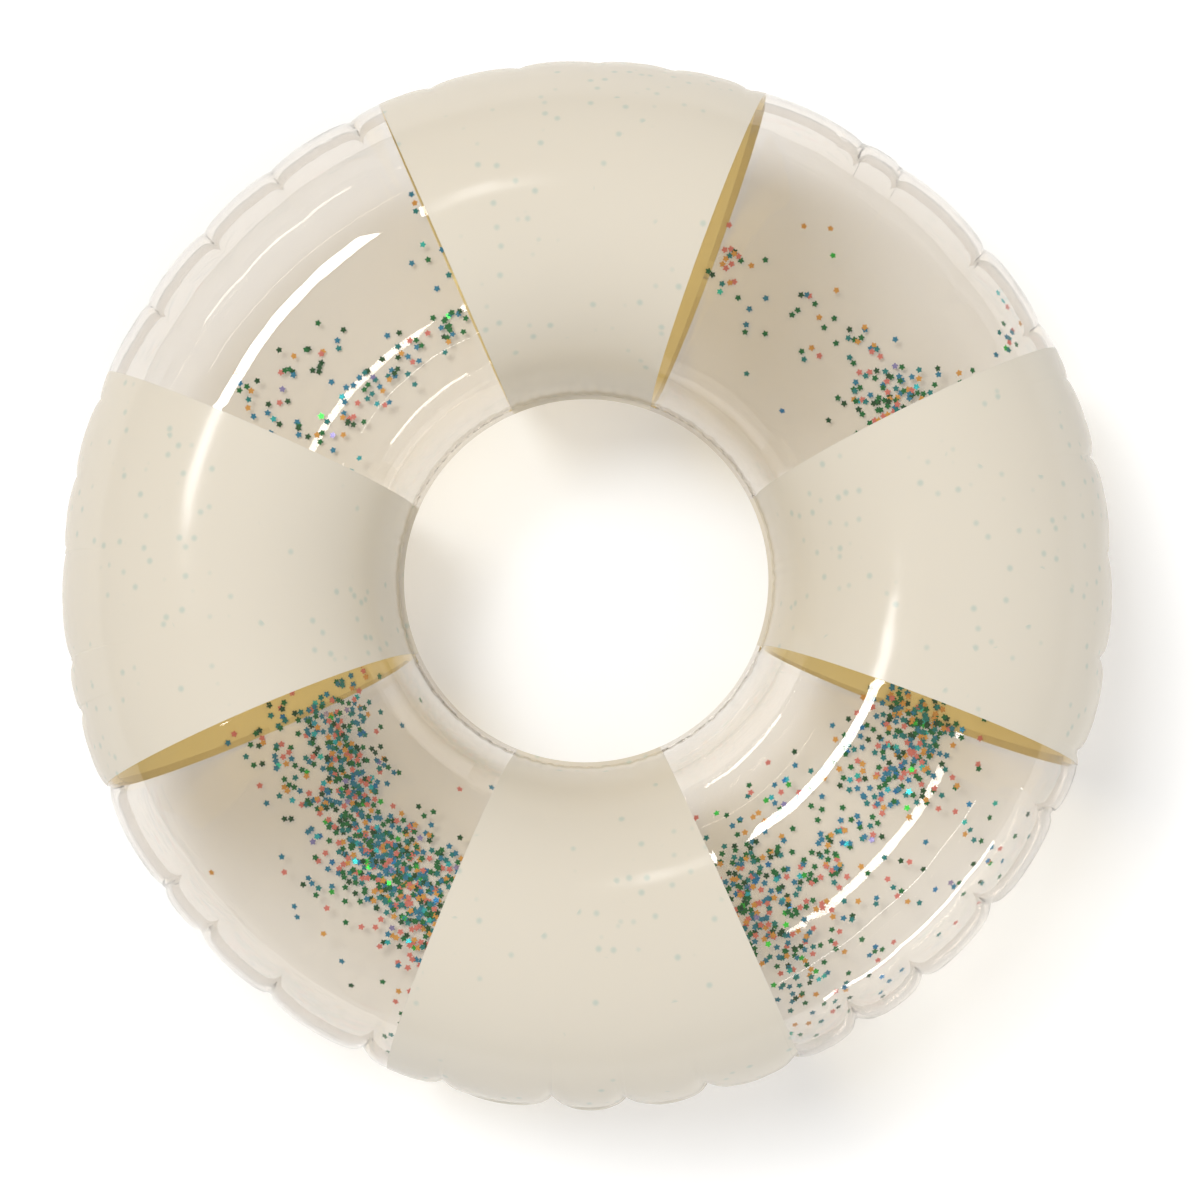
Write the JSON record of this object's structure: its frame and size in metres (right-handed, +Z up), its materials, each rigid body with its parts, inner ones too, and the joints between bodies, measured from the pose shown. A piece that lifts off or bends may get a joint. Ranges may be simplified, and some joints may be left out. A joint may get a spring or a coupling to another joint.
{
  "type": "inflatable pool ring",
  "caption": "Inflated swim ring of alternating cream and clear film panels with loose flower confetti inside, a turned-in outer weld, a flat weld band round the hole and a push-in valve.",
  "frame": {"origin": "on the floor the ring lies on, under the centre of the hole", "axes": "+Z up along the axis of the hole; +X through the middle of the right cream panel; +Y through the middle of the back cream panel, the one over the valve"},
  "size_m": [0.86, 0.86, 0.2606],
  "materials": {
    "cream_film": "satin opaque film",
    "clear_film": "glossy clear film",
    "valve_plastic": "soft translucent plastic",
    "confetti_foil": "metallised foil in several colours"
  },
  "bodies": {
    "ring": {"top_cream_panel_right": "cream_film", "top_clear_panel_back_right": "clear_film", "top_cream_panel_back": "cream_film", "top_clear_panel_back_left": "clear_film", "top_cream_panel_left": "cream_film", "top_clear_panel_front_left": "clear_film", "top_cream_panel_front": "cream_film", "top_clear_panel_front_right": "clear_film", "bottom_cream_panel_right": "cream_film", "bottom_clear_panel_back_right": "clear_film", "bottom_cream_panel_back": "cream_film", "bottom_clear_panel_back_left": "clear_film", "bottom_cream_panel_left": "cream_film", "bottom_clear_panel_front_left": "clear_film", "bottom_cream_panel_front": "cream_film", "bottom_clear_panel_front_right": "clear_film", "confetti_drift_back_right": "confetti_foil", "confetti_drift_back_left": "confetti_foil", "confetti_drift_front_left": "confetti_foil", "confetti_drift_front_right": "confetti_foil", "valve_base": "valve_plastic"},
    "stem": {"valve_stem": "valve_plastic"},
    "flap": {"valve_flap": "valve_plastic"},
    "stopper": {"valve_stopper": "valve_plastic"}
  },
  "joints": [
    {"name": "stem_pull", "type": "slide", "parent": "ring", "child": "stem", "axis": [0, 0.7772, -0.6292], "range_m": [0, 0.0132]},
    {"name": "stopper_open", "type": "hinge", "parent": "stem", "child": "stopper", "pos_m": [0, 0.41138, 0.05808], "axis": [1, 0, 0], "range_deg": [0, 150]},
    {"name": "flap_open", "type": "hinge", "parent": "stem", "child": "flap", "pos_m": [0, 0.39243, 0.06582], "axis": [-1, 0, 0], "range_deg": [0, 35], "stiffness_Nm_per_rad": 0.0002}
  ]
}
